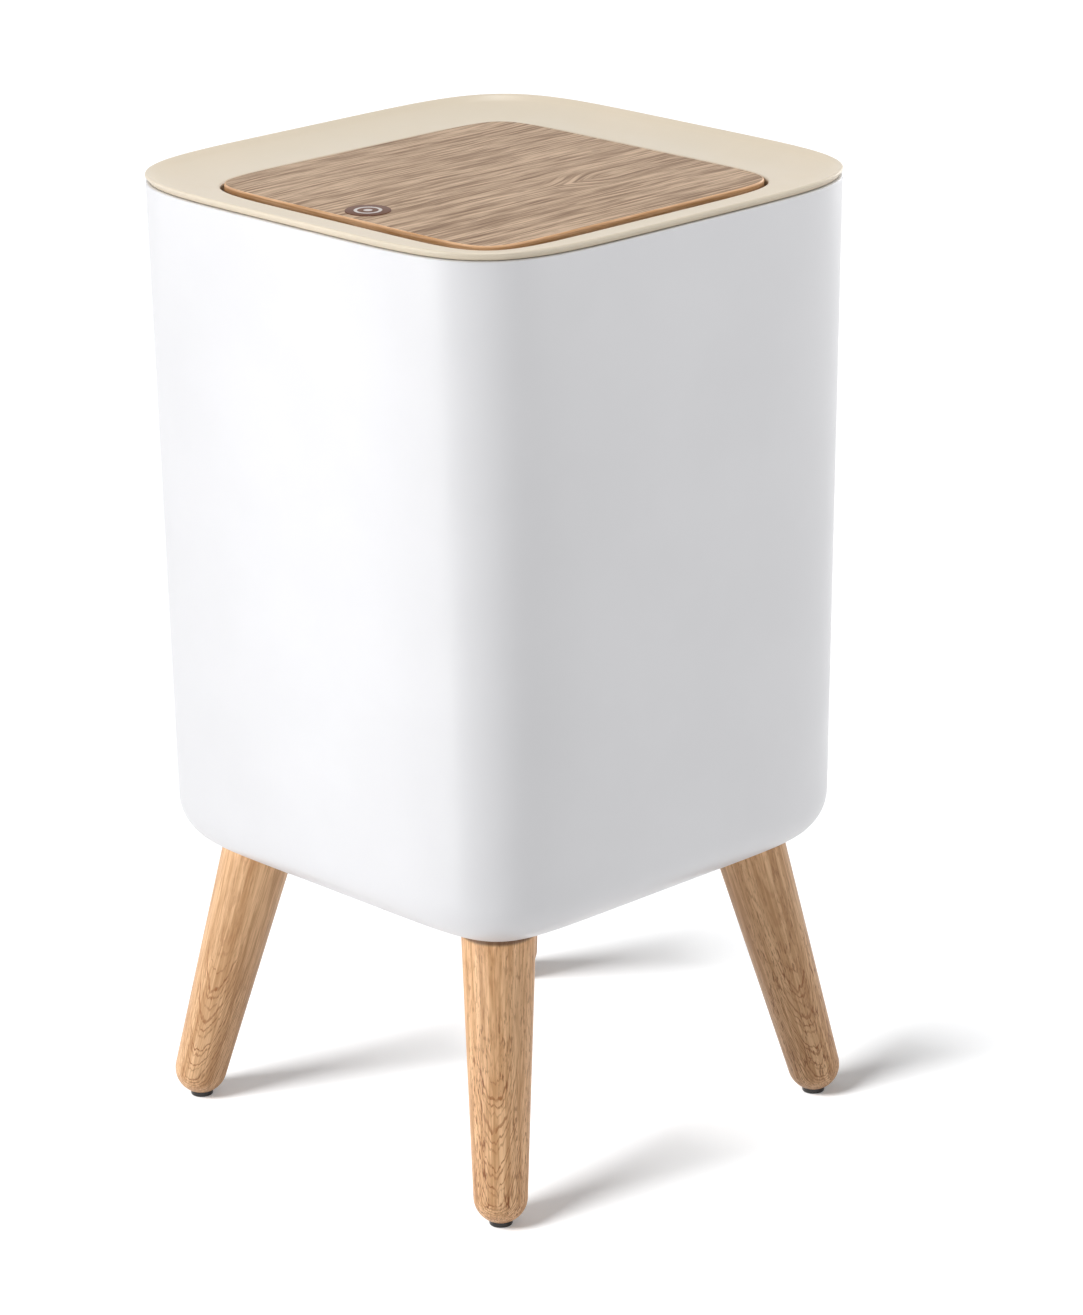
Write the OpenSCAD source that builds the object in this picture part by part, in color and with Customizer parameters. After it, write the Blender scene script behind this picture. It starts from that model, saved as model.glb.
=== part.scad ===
// Push-top bin: tapered body on four splayed wooden legs, dished lid frame, sprung flap.
// Millimetres. The floor is z = 0, the front of the bin faces -Y.

/* [Overall] */
// Height of the lid's rim above the floor
total_h = 374; // [370:0.5:378]
// Underside of the body above the floor
body_floor_z = 108.6; // [106:0.2:112]

/* [Body] */
// Half width of the body at its mouth
body_top_half = 105.2; // [104.8:0.1:106]
// Half width of the body just above its bottom rounding
body_low_half = 99.8; // [98:0.2:102]
// Radius of the rounding round the bottom
bottom_round = 19.6; // [16:0.4:22]
// Wall thickness
body_wall = 2.6; // [2.2:0.1:3]

/* [Legs] */
// Distance of each leg's axis from the centre at the body's underside
leg_top_d = 94.4; // [90:0.2:97]
// Distance of each leg's axis from the centre at the floor
leg_floor_d = 124.2; // [118:0.2:130]
// Radius of a leg at the body's underside
leg_top_r = 14.1; // [13.5:0.1:15]
// Radius a leg's taper would have at the floor
leg_floor_r = 9.8; // [9.2:0.1:10.6]
// Radius of the black glides
pad_r = 4.4; // [4:0.1:5]
// Thickness of the black glides
pad_t = 2; // [1.6:0.1:2.4]

/* [Lid] */
// Half width of the lid's rim
lid_half = 105; // [104.6:0.1:105.4]
// Half width of the flap opening at its lip
opening_half = 79.8; // [79.6:0.1:80.4]
// Height of the lip of the flap opening
lip_z = 368.3; // [368:0.1:368.6]

/* [Flap] */
// Half width of the wood-look panel
panel_half = 76.4; // [76:0.1:76.6]
// Top face of the panel
panel_top_z = 369.3; // [369.2:0.1:369.5]
// Diameter of the badge
badge_d = 17; // [14:0.5:20]

/* [Hidden] */

// Gap that touching faces of different pieces keep
fit = 0.05;
// Amount a cutting tool runs past the face it cuts
past = 1;

// Outlines: rounded squares, each given by its half width and by the distance from the
// centre to its corner along the diagonal
outline_points = 72;
// Below 1 this draws the points of an outline closer together at its corners
corner_crowding = 0.6;

function corner_power(half, reach) = ln(2) / ln(half * sqrt(2) / reach);

function crowded(v) = sign(v) * pow(abs(v), corner_crowding);

function outline(half, reach) = [
    for (i = [0 : outline_points - 1])
        let (
            turn = 360 * i / outline_points,
            x = crowded(cos(turn)),
            y = crowded(sin(turn)),
            power = corner_power(half, reach),
            spread = pow(pow(abs(x), power) + pow(abs(y), power), 1 / power)
        )
        [half * x / spread, half * y / spread]
];

function ring_at(half, reach, z) = [for (p = outline(half, reach)) [p[0], p[1], z]];

// Skin through a list of rings, from the outside's lowest ring on, closed by two flat ends
module loft(rings) {
    n = outline_points;
    points = [for (ring = rings) each ring];
    last = (len(rings) - 1) * n;
    sides = [
        for (k = [0 : len(rings) - 2], j = [0 : n - 1])
            let (a = k * n + j, b = k * n + (j + 1) % n)
            each [[a, a + n, b + n], [a, b + n, b]]
    ];
    first_end = [for (j = [1 : n - 2]) [0, j, j + 1]];
    last_end = [for (j = [1 : n - 2]) [last, last + j + 1, last + j]];
    polyhedron(points = points, faces = concat(sides, first_end, last_end), convexity = 8);
}

// Skin through a list of rings that joins its last ring to its first one
module loft_hoop(rings) {
    n = outline_points;
    total = len(rings) * n;
    points = [for (ring = rings) each ring];
    sides = [
        for (k = [0 : len(rings) - 1], j = [0 : n - 1])
            let (
                a = k * n + j,
                b = k * n + (j + 1) % n,
                c = (a + n) % total,
                d = (b + n) % total
            )
            each [[a, c, d], [a, d, b]]
    ];
    polyhedron(points = points, faces = sides, convexity = 8);
}

// Body
body_top_z = 370.9;
body_top_reach = 129.7;
body_low_reach = 125.7;
body_floor_t = 3;
round_top_z = body_floor_z + bottom_round;
ledge_z = 357;
ledge_depth = 2.6;
mouth_wall = 2.4;
body_wall_rings = 2;
round_steps = 6;

function wall_share(z) = (z - round_top_z) / (body_top_z - round_top_z);

function body_half(z) = body_low_half + (body_top_half - body_low_half) * wall_share(z);

function body_reach(z) = body_low_reach + (body_top_reach - body_low_reach) * wall_share(z);

function body_ring(inset, z) = ring_at(body_half(z) - inset, body_reach(z) - inset, z);

// Ring on a rounding at the bottom; angle 0 is the wall and 90 is the floor
function bottom_ring(inset, radius, angle) =
    let (in = inset + radius * (1 - cos(angle)))
    ring_at(
        body_low_half - in,
        body_low_reach - in,
        body_floor_z + inset + radius * (1 - sin(angle))
    );

module body_shell() {
    inner_round = bottom_round - body_wall;
    outer_round = [
        for (k = [round_steps : -1 : 0]) bottom_ring(0, bottom_round, 90 * k / round_steps)
    ];
    outer_wall = [
        for (k = [1 : body_wall_rings])
            body_ring(0, round_top_z + (body_top_z - 0.8 - round_top_z) * k / body_wall_rings)
    ];
    mouth = [
        body_ring(0.25, body_top_z - 0.25),
        body_ring(0.8, body_top_z),
        body_ring(1.8, body_top_z),
        body_ring(mouth_wall, body_top_z - 0.6),
        body_ring(mouth_wall, ledge_z),
        body_ring(mouth_wall + ledge_depth, ledge_z),
        body_ring(mouth_wall + ledge_depth, ledge_z - 3),
        body_ring(body_wall, ledge_z - 6.5)
    ];
    inner_wall = [body_ring(body_wall, (round_top_z + ledge_z) / 2)];
    inner_bottom = [
        for (k = [0 : round_steps])
            bottom_ring(body_floor_t, inner_round, 90 * k / round_steps)
    ];
    loft(concat(outer_round, outer_wall, mouth, inner_wall, inner_bottom));
}

// Places of the legs, as the turn of each corner about +Z
front_left = 225;
front_right = 315;
back_left = 135;
back_right = 45;
corners = [front_left, front_right, back_left, back_right];

splay = atan((leg_floor_d - leg_top_d) / body_floor_z);
taper = atan((leg_top_r - leg_floor_r) * cos(splay) / body_floor_z);
leg_top_z = body_floor_z - 0.4;

// Frame of a leg: +Z runs up its axis from the floor
module at_leg(corner) {
    rotate([0, 0, corner])
        translate([leg_floor_d, 0, 0])
            rotate([0, -splay, 0])
                children();
}

// The round lower end is a ball; its height lets the flat for the glide be as wide as it
leg_ball_r = leg_floor_r + 0.4;
leg_ball_z = pad_t + sqrt(pow(leg_ball_r, 2) - pow(pad_r, 2));
leg_ball_u = leg_ball_z / cos(splay);
pad_d = leg_floor_d - leg_ball_u * sin(splay);

bolt_r = 4;
bolt_low_u = 89;
bolt_top_u = 126.5;
insert_r = 5.5;
insert_low_u = 114.5;
insert_top_u = 127;
socket_r = 8.5;
socket_top_u = 131;
seat_r = 12.6;

module slab(low_z, high_z) {
    reach = 160;
    translate([-reach, -reach, low_z])
        cube([2 * reach, 2 * reach, high_z - low_z]);
}

module leg_sockets() {
    intersection() {
        union()
            for (corner = corners) at_leg(corner) {
                translate([0, 0, bolt_low_u])
                    cylinder(r = socket_r, h = socket_top_u - bolt_low_u, $fn = 64);
                translate([0, 0, bolt_low_u])
                    cylinder(r = seat_r, h = 26, $fn = 64);
            }
        slab(leg_top_z, body_floor_z + 40);
    }
}

module outer_body() {
    color("white")
        difference() {
            union() {
                body_shell();
                leg_sockets();
            }
            for (corner = corners)
                at_leg(corner)
                    translate([0, 0, bolt_low_u])
                        cylinder(r = insert_r + fit, h = insert_top_u + fit - bolt_low_u, $fn = 64);
        }
}

// Legs
leg_arc_steps = 14;
leg_profile_top_u = 125;

function leg_profile() =
    let (
        arc = [
            for (k = [0 : leg_arc_steps])
                let (angle = -90 + (90 - taper) * k / leg_arc_steps)
                [leg_ball_r * cos(angle), leg_ball_u + leg_ball_r * sin(angle)]
        ],
        last = arc[leg_arc_steps],
        top_r = last[0] + (leg_profile_top_u - last[1]) * tan(taper)
    )
    concat([[0, leg_ball_u - leg_ball_r]], [for (k = [1 : leg_arc_steps]) arc[k]],
           [[top_r, leg_profile_top_u], [0, leg_profile_top_u]]);

module leg(corner) {
    nail_hole_r = 0.8;
    nail_hole_top = 12.6;
    color("burlywood")
        difference() {
            intersection() {
                at_leg(corner) rotate_extrude($fn = 96) polygon(leg_profile());
                slab(pad_t, leg_top_z);
            }
            at_leg(corner)
                translate([0, 0, bolt_low_u - 0.5])
                    cylinder(r = bolt_r + fit, h = 40, $fn = 48);
            rotate([0, 0, corner])
                translate([pad_d, 0, 0])
                    cylinder(r = nail_hole_r, h = nail_hole_top, $fn = 32);
        }
}

module foot_pad(corner) {
    rounding = 0.5;
    nail_seat_r = 2.5;
    nail_seat_z = 0.8;
    color("black")
        rotate([0, 0, corner])
            translate([pad_d, 0, 0])
                difference() {
                    rotate_extrude($fn = 64)
                        polygon([
                            [0, 0],
                            [pad_r - rounding, 0],
                            [pad_r - 0.3 * rounding, 0.3 * rounding],
                            [pad_r, rounding],
                            [pad_r, pad_t],
                            [0, pad_t]
                        ]);
                    translate([0, 0, nail_seat_z])
                        cylinder(r = nail_seat_r, h = pad_t, $fn = 48);
                }
}

module pad_nails() {
    color("silver")
        for (corner = corners)
            rotate([0, 0, corner])
                translate([pad_d, 0, 0]) {
                    translate([0, 0, 0.85]) cylinder(r = 2.4, h = 1.05, $fn = 48);
                    translate([0, 0, 1.5]) cylinder(r = 0.75, h = 9.5, $fn = 32);
                    translate([0, 0, 11]) cylinder(r1 = 0.75, r2 = 0.1, h = 1.4, $fn = 32);
                }
}

module hanger_bolts() {
    color("silver")
        for (corner = corners)
            at_leg(corner)
                translate([0, 0, bolt_low_u]) {
                    cylinder(r1 = 2.4, r2 = bolt_r, h = 3, $fn = 48);
                    translate([0, 0, 3])
                        cylinder(r = bolt_r, h = bolt_top_u - bolt_low_u - 4, $fn = 48);
                    translate([0, 0, bolt_top_u - bolt_low_u - 1])
                        cylinder(r1 = bolt_r, r2 = bolt_r - 0.8, h = 1, $fn = 48);
                }
}

module threaded_inserts() {
    groove_depth = 0.5;
    groove_h = 2;
    insert_h = insert_top_u - insert_low_u;
    color("gold")
        for (corner = corners)
            at_leg(corner)
                translate([0, 0, insert_low_u])
                    difference() {
                        cylinder(r = insert_r, h = insert_h, $fn = 64);
                        translate([0, 0, (insert_h - groove_h) / 2])
                            difference() {
                                cylinder(r = insert_r + past, h = groove_h, $fn = 64);
                                translate([0, 0, -past])
                                    cylinder(r = insert_r - groove_depth, h = groove_h + 2 * past, $fn = 64);
                            }
                        translate([0, 0, -past])
                            cylinder(r = bolt_r + fit, h = insert_h + 2 * past, $fn = 48);
                    }
}

// Ring that folds the bag's edge over itself; it lies on the body's ledge
ring_low_z = ledge_z + 0.3;
ring_flange_t = 2.4;
ring_depth = 17;

function bag_ring_at(inset, z) =
    ring_at(body_half(ledge_z) - inset, body_reach(ledge_z) - inset, z);

module bag_ring() {
    top_z = ring_low_z + ring_flange_t;
    low_z = ring_low_z - ring_depth;
    color("white")
        loft_hoop([
            bag_ring_at(3.1, ring_low_z),
            bag_ring_at(3.1, top_z - 0.5),
            bag_ring_at(3.6, top_z),
            bag_ring_at(13.2, top_z),
            bag_ring_at(13.8, top_z - 0.25),
            bag_ring_at(14, top_z - 0.8),
            bag_ring_at(14, low_z + 0.5),
            bag_ring_at(13.5, low_z),
            bag_ring_at(12.5, low_z),
            bag_ring_at(12, low_z + 0.5),
            bag_ring_at(12, ring_low_z)
        ]);
}

// Lid frame: its section is given by the inset from the rim and a height
lid_reach = 129.9;
opening_reach = 102;
opening_inset = lid_half - opening_half;
reach_per_inset = (lid_reach - opening_reach) / opening_inset;
bead_w = 1.3;
bead_top_h = 1;
bead_low_h = 2.08;
bead_z = total_h - bead_top_h;
bead_low_angle = -60;
rim_low_z = bead_z + bead_low_h * sin(bead_low_angle);
dish_start = 4;
dish_drop = 3.6;
lid_t = 2.2;
skirt_outer = 3.3;
skirt_t = 2;
skirt_low_z = 361;
rib_t = 1.6;
collar_inner = opening_inset - 0.8;
collar_t = 2;
collar_low_z = 348;
dish_steps = 5;

function lid_ring(inset, z) =
    ring_at(lid_half - inset, lid_reach - inset * reach_per_inset, z);

// Height of the dished top: level at the lip and steeper towards the rim
function dish_z(inset) =
    lip_z + dish_drop * pow((opening_inset - 0.6 - inset) / (opening_inset - 0.6 - dish_start), 2);

module lid_skin() {
    bead = [
        for (angle = [bead_low_angle : 30 : 90])
            lid_ring(bead_w * (1 - cos(angle)), bead_z + (angle < 0 ? bead_low_h : bead_top_h) * sin(angle))
    ];
    inner_bead = [
        lid_ring(2.6, total_h - 0.45),
        lid_ring(3.3, total_h - 1.3)
    ];
    dish = [
        for (k = [0 : dish_steps])
            let (inset = dish_start + (opening_inset - 0.6 - dish_start) * k / dish_steps)
            lid_ring(inset, dish_z(inset))
    ];
    lip = [
        lid_ring(opening_inset - 0.15, lip_z - 0.15),
        lid_ring(opening_inset, lip_z - 0.6),
        lid_ring(opening_inset, lip_z - 1.4),
        lid_ring(collar_inner, lip_z - 2.2),
        lid_ring(collar_inner, collar_low_z),
        lid_ring(collar_inner - collar_t, collar_low_z),
        lid_ring(collar_inner - collar_t, dish_z(collar_inner - collar_t) - lid_t)
    ];
    underside = [
        for (k = [dish_steps - 1 : -1 : 1])
            let (inset = skirt_outer + skirt_t + (collar_inner - collar_t - skirt_outer - skirt_t) * k / dish_steps)
            lid_ring(inset, dish_z(inset) - lid_t)
    ];
    skirt = [
        lid_ring(skirt_outer + skirt_t, dish_z(skirt_outer + skirt_t) - lid_t),
        lid_ring(skirt_outer + skirt_t, skirt_low_z),
        lid_ring(skirt_outer, skirt_low_z),
        lid_ring(skirt_outer, rim_low_z)
    ];
    loft_hoop(concat(bead, inner_bead, dish, lip, underside, skirt));
}

// Hinge line of the flap: far enough forward for its round back corners to swing clear
hinge_y = 57;
hinge_z = 362;
pin_r = 1.5;
boss_r = 3.4;
boss_inner_x = 77.5;
boss_outer_x = 84.5;
knuckle_r = 3.2;
knuckle_w = 6;
knuckle_x = [-61, -13, 13, 61];

// Torsion springs: their outer and inner ends, from the centre
torsion_wire_r = 0.4;
torsion_coil_r = 2.5;
torsion_pitch = 1.4;
torsion_turns = 5.75;
torsion_outer_x = 74.2;
torsion_inner_x = torsion_outer_x - torsion_pitch * torsion_turns;

// Inner face of the collar wall where it runs straight
collar_y = lid_half - collar_inner;

module along_x(x, r, w) {
    translate([x - w / 2, hinge_y, hinge_z])
        rotate([0, 90, 0])
            cylinder(r = r, h = w, $fn = 48);
}

module hinge_bosses() {
    for (side = [-1, 1])
        along_x(side * (boss_inner_x + boss_outer_x) / 2, boss_r, boss_outer_x - boss_inner_x);
}

// Posts that the fixed legs of the torsion springs press back against
post_top = 356;
post_y = [52.5, 55];

module spring_posts() {
    inner_x = torsion_outer_x - 1.2;
    for (side = [0, 1])
        mirror([side, 0, 0])
            translate([inner_x, post_y[0], collar_low_z + 2])
                cube([collar_y + 0.3 - inner_x, post_y[1] - post_y[0], post_top - collar_low_z - 2]);
}

// Latch under the front edge
latch_y = -71;
apron_half = 16;
apron_low_z = 330;
housing_top = 356;
housing_low = 326;
housing_screw_x = 10.6;
housing_screw_z = 339;
screw_boss_r = 3.6;
screw_boss_end = -88;
flange_t = 2.6;

module latch_apron() {
    translate([-apron_half, -collar_y - collar_t, apron_low_z])
        cube([2 * apron_half, collar_t, collar_low_z + 4 - apron_low_z]);
    for (side = [-1, 1])
        translate([side * housing_screw_x, -collar_y - 0.5, housing_screw_z])
            rotate([90, 0, 0])
                cylinder(r = screw_boss_r, h = -collar_y - 0.5 - screw_boss_end, $fn = 48);
}

// Stiffening ribs under the dished top, two on each side
module lid_ribs() {
    rib_low_z = 362;
    inner = collar_inner - collar_t + 0.5;
    outer = skirt_outer + skirt_t - 0.5;
    steps = 6;
    top_edge = [
        for (k = [0 : steps])
            let (inset = inner + (outer - inner) * k / steps)
            [lid_half - inset, dish_z(inset) - lid_t / 2]
    ];
    for (turn = [0 : 90 : 270], x = [-44, 44])
        rotate([0, 0, turn])
            translate([x - rib_t / 2, 0, 0])
                rotate([90, 0, 90])
                    linear_extrude(rib_t)
                        polygon(concat(
                            top_edge,
                            [[lid_half - outer, rib_low_z], [lid_half - inner, rib_low_z]]
                        ));
}

module lid_frame() {
    screw_core_r = 1.2;
    color("bisque")
        difference() {
            union() {
                lid_skin();
                hinge_bosses();
                spring_posts();
                latch_apron();
                lid_ribs();
            }
            along_x(0, pin_r + fit, 2 * boss_outer_x + 2 * past);
            for (side = [-1, 1])
                translate([side * housing_screw_x, -collar_y + past, housing_screw_z])
                    rotate([90, 0, 0])
                        cylinder(r = screw_core_r, h = 7 + past, $fn = 32);
        }
}

// Flap
panel_low_z = 365.5;
panel_corner = 24.2;
panel_screw_xy = [[-50, -50], [50, -50], [-50, 46], [50, 46]];
carrier_half = 75.2;
carrier_corner = 22.2;
carrier_t = 2.2;
carrier_rib_z = 360.3;
striker_screw_y = -64.5;

function panel_ring(inset, z) =
    ring_at(panel_half - inset, panel_half + panel_corner - inset, z);

module flap_panel() {
    round_r = 0.8;
    screw_core_r = 1;
    core_top = 367.8;
    color("tan")
        difference() {
            loft(concat(
                [panel_ring(0.4, panel_low_z), panel_ring(0, panel_low_z + 0.4)],
                [
                    for (k = [0 : 3])
                        panel_ring(round_r * (1 - cos(30 * k)), panel_top_z - round_r * (1 - sin(30 * k)))
                ]
            ));
            for (p = panel_screw_xy)
                translate([p[0], p[1], panel_low_z - past])
                    cylinder(r = screw_core_r, h = core_top - panel_low_z + past, $fn = 32);
            translate([0, striker_screw_y, panel_low_z - past])
                cylinder(r = screw_core_r, h = core_top - panel_low_z + past, $fn = 32);
        }
}

module carrier_outline(inset) {
    polygon(outline(carrier_half - inset, carrier_half + carrier_corner - inset));
}

// Space that the carrier leaves round the coil of one torsion spring
module coil_notch(side) {
    reach = torsion_coil_r + torsion_wire_r + 0.6;
    middle = (torsion_outer_x + torsion_inner_x) / 2;
    w = torsion_outer_x - torsion_inner_x + 2.6;
    translate([side * middle - w / 2, hinge_y - reach, carrier_rib_z - past])
        cube([w, 2 * reach, panel_low_z - carrier_rib_z + 2 * past]);
}

module flap_carrier() {
    plate_z = panel_low_z - carrier_t;
    rib_h = plate_z - carrier_rib_z;
    screw_clear_r = 1.35;
    color("bisque")
        difference() {
            union() {
                difference() {
                    union() {
                        translate([0, 0, plate_z]) linear_extrude(carrier_t) carrier_outline(0);
                        translate([0, 0, carrier_rib_z])
                            linear_extrude(rib_h + 0.5)
                                difference() {
                                    carrier_outline(0);
                                    carrier_outline(2);
                                }
                        for (x = [-28, 28])
                            translate([x - rib_t / 2, -58, carrier_rib_z])
                                cube([rib_t, 109, rib_h + 0.5]);
                        for (y = [-30, 2, 34])
                            translate([-73.8, y - rib_t / 2, carrier_rib_z])
                                cube([147.6, rib_t, rib_h + 0.5]);
                        for (side = [-1, 1])
                            translate([side * torsion_inner_x - 1.5, 41, plate_z - 0.9])
                                cube([3, 5, 1.4]);
                    }
                    for (side = [-1, 1]) coil_notch(side);
                }
                for (x = knuckle_x) {
                    along_x(x, knuckle_r, knuckle_w);
                    translate([x - knuckle_w / 2, hinge_y - knuckle_r, hinge_z])
                        cube([knuckle_w, 2 * knuckle_r, plate_z - hinge_z + 1]);
                }
            }
            along_x(0, pin_r + fit, 2 * carrier_half);
            for (p = panel_screw_xy)
                translate([p[0], p[1], carrier_rib_z])
                    cylinder(r = screw_clear_r, h = 8, $fn = 32);
            translate([0, striker_screw_y, carrier_rib_z])
                cylinder(r = screw_clear_r, h = 8, $fn = 32);
        }
}

badge_xy = [1, -64.3];
badge_t = 0.25;

module badge() {
    edge = 0.1;
    color("saddlebrown")
        translate([badge_xy[0], badge_xy[1], panel_top_z])
            rotate_extrude($fn = 96)
                polygon([
                    [0, 0],
                    [badge_d / 2, 0],
                    [badge_d / 2, badge_t - edge],
                    [badge_d / 2 - edge, badge_t],
                    [0, badge_t]
                ]);
}

// Pan-head screw along +Z, with the underside of its head at z = 0
module pan_screw(shank_r, shank_h, head_r, head_h) {
    socket_depth = head_h * 0.5;
    difference() {
        union() {
            translate([0, 0, -head_h])
                cylinder(r1 = head_r * 0.75, r2 = head_r, h = head_h * 0.5, $fn = 48);
            translate([0, 0, -head_h * 0.5])
                cylinder(r = head_r, h = head_h * 0.5, $fn = 48);
            cylinder(r = shank_r, h = shank_h - 0.8, $fn = 32);
            translate([0, 0, shank_h - 0.8])
                cylinder(r1 = shank_r, r2 = 0.2, h = 0.8, $fn = 32);
        }
        for (turn = [0, 90])
            rotate([0, 0, turn])
                translate([-head_r * 0.5, -0.25, -head_h - past])
                    cube([head_r, 0.5, socket_depth + past]);
    }
}

module panel_screws() {
    color("silver")
        for (p = panel_screw_xy)
            translate([p[0], p[1], panel_low_z - carrier_t])
                pan_screw(0.95, 4.4, 2.2, 1.5);
}

// T-shaped tab that the claws of the latch hold
striker_base_t = 1.8;
striker_base_z = panel_low_z - carrier_t - striker_base_t;
head_top_z = 354;
head_low_z = 351.4;

module latch_striker() {
    stem_half = 1.5;
    head_half = 2.9;
    depth = 2.8;
    color("ivory")
        difference() {
            union() {
                translate([-7, -73, striker_base_z]) cube([14, 12, striker_base_t]);
                translate([-stem_half, latch_y - depth / 2, head_low_z])
                    cube([2 * stem_half, depth, striker_base_z - head_low_z + 0.5]);
                translate([0, latch_y + depth / 2, 0])
                    rotate([90, 0, 0])
                        linear_extrude(depth)
                            polygon([
                                [-head_half, head_top_z],
                                [-head_half, head_low_z + 1.2],
                                [-stem_half, head_low_z],
                                [stem_half, head_low_z],
                                [head_half, head_low_z + 1.2],
                                [head_half, head_top_z]
                            ]);
            }
            translate([0, striker_screw_y, striker_base_z - past])
                cylinder(r = 1.35, h = striker_base_t + 2 * past, $fn = 32);
        }
}

module striker_screw() {
    color("silver")
        translate([0, striker_screw_y, striker_base_z])
            pan_screw(0.95, 6, 2.2, 1.5);
}

// Pin with a groove near each end for its clip
clip_t = 0.6;
clip_x = boss_outer_x + clip_t / 2 + 0.2;
groove_r = 1.15;
pin_half = clip_x + 1.4;

module hinge_pin() {
    tip = 0.4;
    groove_w = clip_t + 0.1;
    color("silver")
        translate([0, hinge_y, hinge_z])
            rotate([0, 90, 0])
                rotate_extrude($fn = 48)
                    polygon([
                        [0, -pin_half],
                        [pin_r - tip, -pin_half],
                        [pin_r, -pin_half + tip],
                        [pin_r, -clip_x - groove_w / 2],
                        [groove_r, -clip_x - groove_w / 2],
                        [groove_r, -clip_x + groove_w / 2],
                        [pin_r, -clip_x + groove_w / 2],
                        [pin_r, clip_x - groove_w / 2],
                        [groove_r, clip_x - groove_w / 2],
                        [groove_r, clip_x + groove_w / 2],
                        [pin_r, clip_x + groove_w / 2],
                        [pin_r, pin_half - tip],
                        [pin_r - tip, pin_half],
                        [0, pin_half]
                    ]);
}

module pin_clips() {
    clip_r = 2.8;
    mouth_w = 1.7;
    color("dimgray")
        for (side = [-1, 1])
            difference() {
                along_x(side * clip_x, clip_r, clip_t);
                along_x(side * clip_x, groove_r + fit, clip_t + past);
                translate([side * clip_x - clip_t, hinge_y - mouth_w / 2, hinge_z - clip_r - past])
                    cube([2 * clip_t, mouth_w, clip_r + past]);
            }
}

// Round wire along a list of points; axis is a direction that the wire is never along
function unit(v) = v / norm(v);

function heading(path, i) =
    unit(path[min(i + 1, len(path) - 1)] - path[max(i - 1, 0)]);

module wire(path, r, axis, sides = 6) {
    count = len(path);
    points = [
        for (i = [0 : count - 1])
            let (t = heading(path, i), u = unit(cross(axis, t)), v = cross(t, u))
            for (j = [0 : sides - 1])
                path[i] + r * (cos(360 * j / sides) * u + sin(360 * j / sides) * v)
    ];
    tube = [
        for (i = [0 : count - 2], j = [0 : sides - 1])
            let (a = i * sides + j, b = i * sides + (j + 1) % sides)
            each [[a, a + sides, b + sides], [a, b + sides, b]]
    ];
    last = (count - 1) * sides;
    start_cap = [for (j = [1 : sides - 2]) [0, j, j + 1]];
    end_cap = [for (j = [1 : sides - 2]) [last, last + j + 1, last + j]];
    polyhedron(points = points, faces = concat(tube, start_cap, end_cap), convexity = 10);
}

// Least gap of a coiled wire to itself, between points at least half a turn apart
function least_gap(path, r, apart) =
    min([
        for (i = [0 : len(path) - 1 - apart], j = [i + apart : len(path) - 1])
            norm(path[i] - path[j])
    ]) - 2 * r;

// Torsion springs round the hinge pin: one leg presses on the lid, the other lifts the flap
coil_points = 8;

function torsion_path(side) =
    let (
        steps = torsion_turns * coil_points,
        coil = [
            for (k = [0 : steps])
                let (angle = 180 - 360 * k / coil_points)
                [
                    side * (torsion_outer_x - torsion_pitch * k / coil_points),
                    hinge_y + torsion_coil_r * cos(angle),
                    hinge_z + torsion_coil_r * sin(angle)
                ]
        ],
        start = coil[0],
        end = coil[steps]
    )
    concat(
        [start + [0, -3.9, -9.5], start + [0, -2.6, -5.5], start + [0, -0.3, -1.2]],
        coil,
        [end + [0, -1.2, 0], end + [0, -7, 0.8], end + [0, -14.5, 2.1]]
    );

echo(torsion_spring_gap = least_gap(torsion_path(1), torsion_wire_r, coil_points / 2 + 1));

module torsion_spring(side) {
    color("silver") wire(torsion_path(side), torsion_wire_r, [1, 0, 0]);
}

// Push latch: housing, slider with claws, spring and cam pin
channel_x = 4.9;
channel_y = 3.6;
slider_x = 4.5;
slider_y = 3.2;
slider_low = 334;
slider_top = 351.1;
claw_top = 355.8;
hook_low = 354.3;
hook_gap = 2;
claw_inner = 3.3;
slider_bore_r = 2.4;
slider_bore_top = 337.7;
floor_t = 2;
housing_x = 7.2;
housing_inner_face = -64.4;
cam_pin_y = -66.9;
cam_pin_low = 331;
cam_pin_high = 343.1;
cam_wire_r = 0.4;

module latch_housing() {
    back_y = -collar_y + 0.2;
    color("gray")
        difference() {
            union() {
                translate([-housing_x, back_y, housing_low])
                    cube([2 * housing_x, housing_inner_face - back_y, housing_top - housing_low]);
                translate([-14.4, back_y, housing_screw_z - 7])
                    cube([28.8, flange_t, 14]);
            }
            translate([-channel_x, latch_y - channel_y, housing_low + floor_t])
                cube([2 * channel_x, 2 * channel_y, 60]);
            translate([-2, cam_pin_y - 0.8, cam_pin_low - 1])
                cube([4, 1.4, cam_pin_high - cam_pin_low + 2.4]);
            translate([0, cam_pin_y, cam_pin_low])
                rotate([-90, 0, 0])
                    cylinder(r = cam_wire_r + fit, h = 2.1, $fn = 24);
            for (side = [-1, 1])
                translate([side * housing_screw_x, back_y - past, housing_screw_z])
                    rotate([-90, 0, 0])
                        cylinder(r = 1.7, h = flange_t + 2 * past, $fn = 32);
        }
}

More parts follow.
